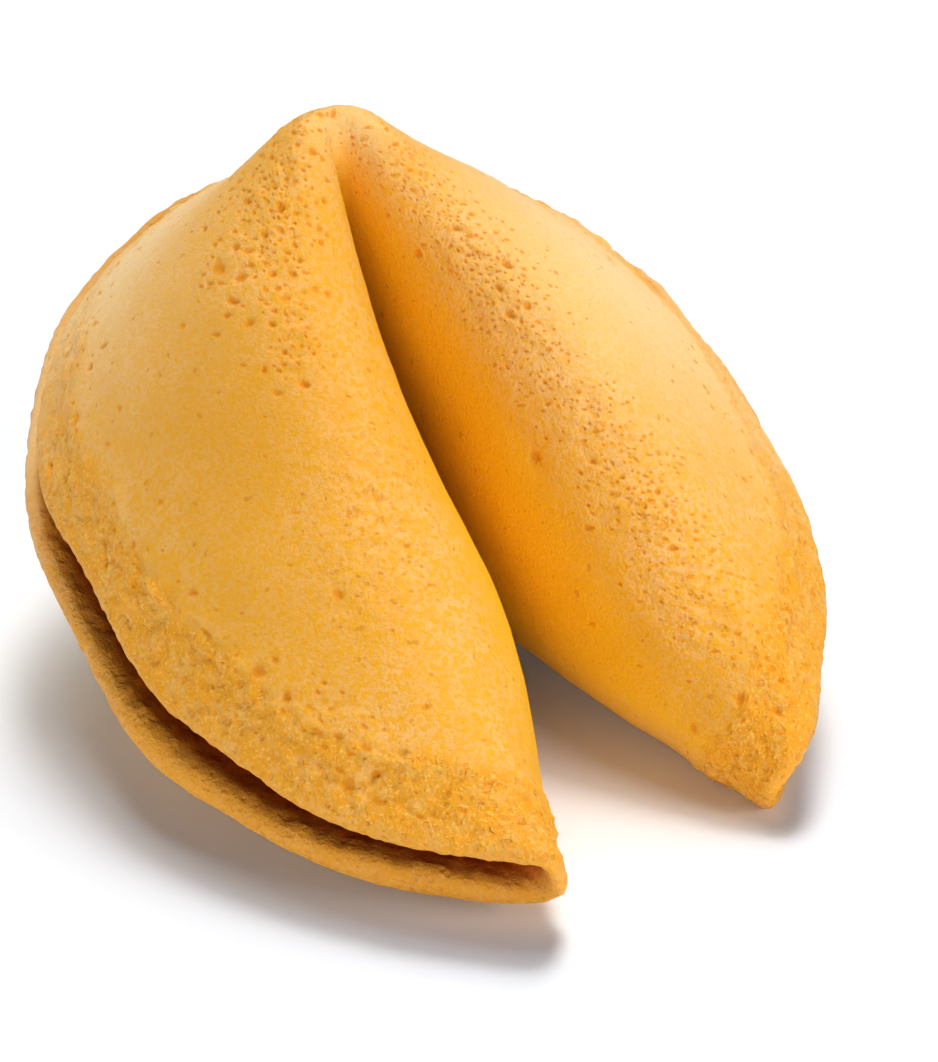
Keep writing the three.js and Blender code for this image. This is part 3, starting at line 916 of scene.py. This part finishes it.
def on_table(points, plain):
    """Folded points in the row frame, in metres: turned to rest and set in the solid's box."""
    up = np.array(REST_UP) / np.linalg.norm(REST_UP)
    back = np.array([0.0, 1.0, 0.0]) - up * up[1]
    back /= np.linalg.norm(back)
    turn = np.stack([np.cross(back, up), back, up]).T * MM
    plain = plain @ turn
    low, high = (np.array(corner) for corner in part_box("cookie"))
    shift = (low + high) / 2 - (plain.min(0) + plain.max(0)) / 2
    shift[2] = high[2] - plain[:, 2].max()
    placed = points @ turn + shift
    placed[:, 2] = np.maximum(placed[:, 2], low[2])
    return placed


# ---- Materials ----
class Nodes:
    """Short ways to add and link the nodes of one material."""

    def __init__(self, name):
        self.material = bpy.data.materials.new(name)
        self.material.use_nodes = True
        self.tree = self.material.node_tree
        self.shader = self.tree.nodes["Principled BSDF"]

    def add(self, kind, inputs=None, **settings):
        """New node with these settings, and values or links on its inputs."""
        node = self.tree.nodes.new(kind)
        for key, value in settings.items():
            setattr(node, key, value)
        for key, value in (inputs or {}).items():
            if isinstance(value, bpy.types.NodeSocket):
                self.tree.links.new(value, node.inputs[key])
            else:
                node.inputs[key].default_value = value
        return node

    def noise(self, place, scale, detail, roughness):
        """Noise with about this many lumps per millimetre."""
        inputs = {"Vector": place, "Scale": scale, "Detail": detail, "Roughness": roughness}
        return self.add("ShaderNodeTexNoise", inputs).outputs["Fac"]

    def step(self, value, low, high, most=1.0, least=0.0):
        """The least below low, the most above high, smooth between them."""
        inputs = {"Value": value, "From Min": low, "From Max": high}
        inputs.update({"To Min": least, "To Max": most})
        node = self.add("ShaderNodeMapRange", inputs, interpolation_type="SMOOTHSTEP")
        return node.outputs["Result"]

    def combine(self, operation, a, b):
        """Two values put together by one step of arithmetic."""
        return self.add("ShaderNodeMath", {0: a, 1: b}, operation=operation).outputs[0]

    def times(self, a, b):
        """Product of two values."""
        return self.combine("MULTIPLY", a, b)

    def mix(self, share, a, b):
        """Colour a where share is 0, b where it is 1."""
        node = self.add("ShaderNodeMix", data_type="RGBA")
        colour_a, colour_b = (socket for socket in node.inputs if socket.type == "RGBA")
        for socket, value in ((node.inputs["Factor"], share), (colour_a, a), (colour_b, b)):
            if isinstance(value, bpy.types.NodeSocket):
                self.tree.links.new(value, socket)
            elif isinstance(value, tuple):
                socket.default_value = (*value, 1)
            else:
                socket.default_value = value
        return next(socket for socket in node.outputs if socket.type == "RGBA")

    def surface_value(self, name):
        """Value that the mesh carries under this name."""
        node = self.add("ShaderNodeAttribute", attribute_name=name)
        return node.outputs["Fac"]


def patterns(nodes, surface_names):
    """What the colour and the bumps follow: noises, pinholes and the mesh's own values."""
    object_place = nodes.add("ShaderNodeTexCoord").outputs["Object"]
    in_millimetres = {"Vector": object_place, "Scale": (1 / MM, 1 / MM, 1 / MM)}
    place = nodes.add("ShaderNodeMapping", in_millimetres).outputs["Vector"]
    at = {name: nodes.noise(place, *setup) for name, setup in NOISES.items()}
    at.update({name: nodes.surface_value(name) for name in surface_names})
    cells = nodes.add("ShaderNodeTexVoronoi", {"Vector": place, "Scale": HOLE_CELLS})
    uneven = nodes.combine("ADD", cells.outputs["Distance"], at["mottling"])
    pitted = nodes.combine("MAXIMUM", at["porous"], at["band"])
    at["holes"] = nodes.times(nodes.step(uneven, *HOLE_STEPS), pitted)
    return at


def crust_colour(nodes, at):
    """Colours of the crust, laid one over the other."""

    def stepped(name, pattern):
        """Share of a layer that follows this pattern."""
        return nodes.step(at[pattern], *LAYER_STEPS[name])

    def part_of(share, name):
        """Share of a layer, at its strength."""
        return nodes.times(share, LAYER_STRENGTH[name])

    toasted = nodes.times(at["band"], stepped("toasted", "mottling"))
    # painted glints: pale highlights spotted over the band's grain
    glints = nodes.times(at["band"], stepped("glints", "grain"))
    crumb_side = nodes.mix(at["band"], COLOURS["inner"], COLOURS["inner_rim"])
    layers = (
        (stepped("blotches", "blotches"), COLOURS["light"]),
        (stepped("mottling", "mottling"), COLOURS["amber"]),
        (stepped("speckles", "speckles"), COLOURS["yellow"]),
        (stepped("grain", "grain"), COLOURS["yellow"]),
        (at["tanned"], COLOURS["tanned"]),
        (at["pale"], COLOURS["pale"]),
        # painted glow of bounced light on the walls deep in the notch
        (part_of(at["notch_glow"], "notch_glow"), COLOURS["notch_glow"]),
        (part_of(at["band"], "band"), COLOURS["amber"]),
        (part_of(toasted, "toasted"), COLOURS["toasted"]),
        (part_of(at["crumbs"], "crumbs"), COLOURS["crumb_and_glint"]),
        # painted glints in the band
        (glints, COLOURS["crumb_and_glint"]),
        (part_of(at["holes"], "holes"), COLOURS["pore"]),
        # inner face and broken rim: painted shade of the slit, paler along the edge
        (at["inner"], crumb_side),
        (stepped("flecks", "flecks"), COLOURS["fleck"]),
        (stepped("pore", "pore"), COLOURS["pore"]),
        (stepped("grooves", "grain"), COLOURS["amber"]),
    )
    colour = COLOURS["golden"]
    for share, over in layers:
        colour = nodes.mix(share, colour, over)
    return colour


def crust_bumps(nodes, at):
    """Grain, pinholes and the crumbly band, as bumps one over the other."""
    outer_band = nodes.times(at["band"], nodes.step(at["inner"], 1, 0))
    heights = {
        "grain": at["grain"],
        "holes": at["holes"],
        "crumbly_band": nodes.times(at["speckles"], outer_band),
    }
    bumped = None
    for name, height in heights.items():
        strength, distance = BUMPS[name]
        inputs = {"Height": height, "Strength": strength, "Distance": distance * MM}
        if bumped:
            inputs["Normal"] = bumped
        bumped = nodes.add("ShaderNodeBump", inputs).outputs["Normal"]
    return bumped


def baked_wafer(surface_names):
    """Golden crust: mottled, speckled, browner in the rim band with painted glints, deep orange in
    pores, a deep orange painted glow of bounced light on the folds in the notch, and painted shade
    on the inner face.
    """
    nodes = Nodes("baked_wafer")
    at = patterns(nodes, surface_names)
    shader = nodes.shader.inputs
    nodes.tree.links.new(crust_colour(nodes, at), shader["Base Color"])
    nodes.tree.links.new(crust_bumps(nodes, at), shader["Normal"])
    nodes.tree.links.new(nodes.step(at["mottling"], *ROUGHNESS_STEPS), shader["Roughness"])
    shader["Specular IOR Level"].default_value = SPECULAR
    shader["Subsurface Weight"].default_value = SUBSURFACE["weight"]
    shader["Subsurface Radius"].default_value = SUBSURFACE["radius"]
    shader["Subsurface Scale"].default_value = SUBSURFACE["millimetres"] * MM
    return nodes.material


def build_cookie():
    """The cookie as one piece, in place of the solid."""
    points, faces, values, plain = cookie_mesh()
    mesh = bpy.data.meshes.new("cookie_crust")
    mesh.from_pydata(on_table(points, plain).tolist(), [], faces.tolist())
    mesh.polygons.foreach_set("use_smooth", [True] * len(mesh.polygons))
    for name, numbers in values.items():
        layer = mesh.attributes.new(name, "FLOAT", "POINT")
        layer.data.foreach_set("value", numbers.astype(np.float32))
    mesh.update()
    piece = bpy.data.objects.new("cookie_crust", mesh)
    bpy.context.scene.collection.objects.link(piece)
    mesh.materials.append(baked_wafer(list(values)))
    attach(piece, "root")
    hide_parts("cookie")


# ---- Studio ----
def build_floor():
    """Plain pale floor, wider than the picture."""
    mesh = bpy.data.meshes.new("floor")
    half = FLOOR_HALF_SIZE
    corners = [(-half, -half, 0), (half, -half, 0), (half, half, 0), (-half, half, 0)]
    mesh.from_pydata(corners, [], [(0, 1, 2, 3)])
    floor = bpy.data.objects.new("floor", mesh)
    bpy.context.scene.collection.objects.link(floor)
    material = bpy.data.materials.new("pale_floor")
    material.use_nodes = True
    shader = material.node_tree.nodes["Principled BSDF"]
    shader.inputs["Base Color"].default_value = (*FLOOR_COLOUR, 1)
    shader.inputs["Roughness"].default_value = FLOOR_ROUGHNESS
    mesh.materials.append(material)


def toward(azimuth, elevation):
    """Unit direction from the cookie: azimuth 0 towards -Y, positive towards +X."""
    a, e = math.radians(azimuth), math.radians(elevation)
    return Vector((math.sin(a) * math.cos(e), -math.cos(a) * math.cos(e), math.sin(e)))


def softbox(name, azimuth, elevation, distance, size, watts):
    """Round soft light that faces the cookie."""
    light = bpy.data.lights.new(name, "AREA")
    light.shape = "DISK"
    light.size = size
    light.energy = watts
    light.color = LIGHT_TINT
    lamp = bpy.data.objects.new(name, light)
    lamp.location = toward(azimuth, elevation) * distance
    lamp.rotation_euler = lamp.location.to_track_quat("Z", "Y").to_euler()
    bpy.context.scene.collection.objects.link(lamp)


def build_studio():
    """Floor, dim cool surroundings and soft lights."""
    build_floor()
    world = bpy.data.worlds.new("studio")
    world.use_nodes = True
    background = world.node_tree.nodes["Background"]
    background.inputs["Color"].default_value = (*AMBIENT_TINT, 1)
    background.inputs["Strength"].default_value = AMBIENT
    bpy.context.scene.world = world
    for name, setup in LIGHTS.items():
        softbox(name, *setup)
    bpy.context.scene.view_settings.view_transform = "Standard"


def build_camera():
    """Camera at the photograph's viewing angle."""
    data = bpy.data.cameras.new("camera")
    data.sensor_fit = "VERTICAL"
    data.sensor_height = SENSOR_HEIGHT
    data.lens = CAMERA_LENS
    data.clip_start = CLIP_START
    back = toward(CAMERA_AZIMUTH, CAMERA_ELEVATION)
    level = Vector((0, 0, 1)).cross(back).normalized()
    roll = math.radians(CAMERA_ROLL)
    up = back.cross(level) * math.cos(roll) + level * math.sin(roll)
    right = up.cross(back)
    camera = bpy.data.objects.new("camera", data)
    turn = Matrix((right, up, back)).transposed().to_4x4()
    place = (Vector(CAMERA_AIM) + back * CAMERA_DISTANCE) * MM
    camera.matrix_world = Matrix.Translation(place) @ turn
    bpy.context.scene.collection.objects.link(camera)
    bpy.context.scene.camera = camera


build_cookie()
build_studio()
build_camera()
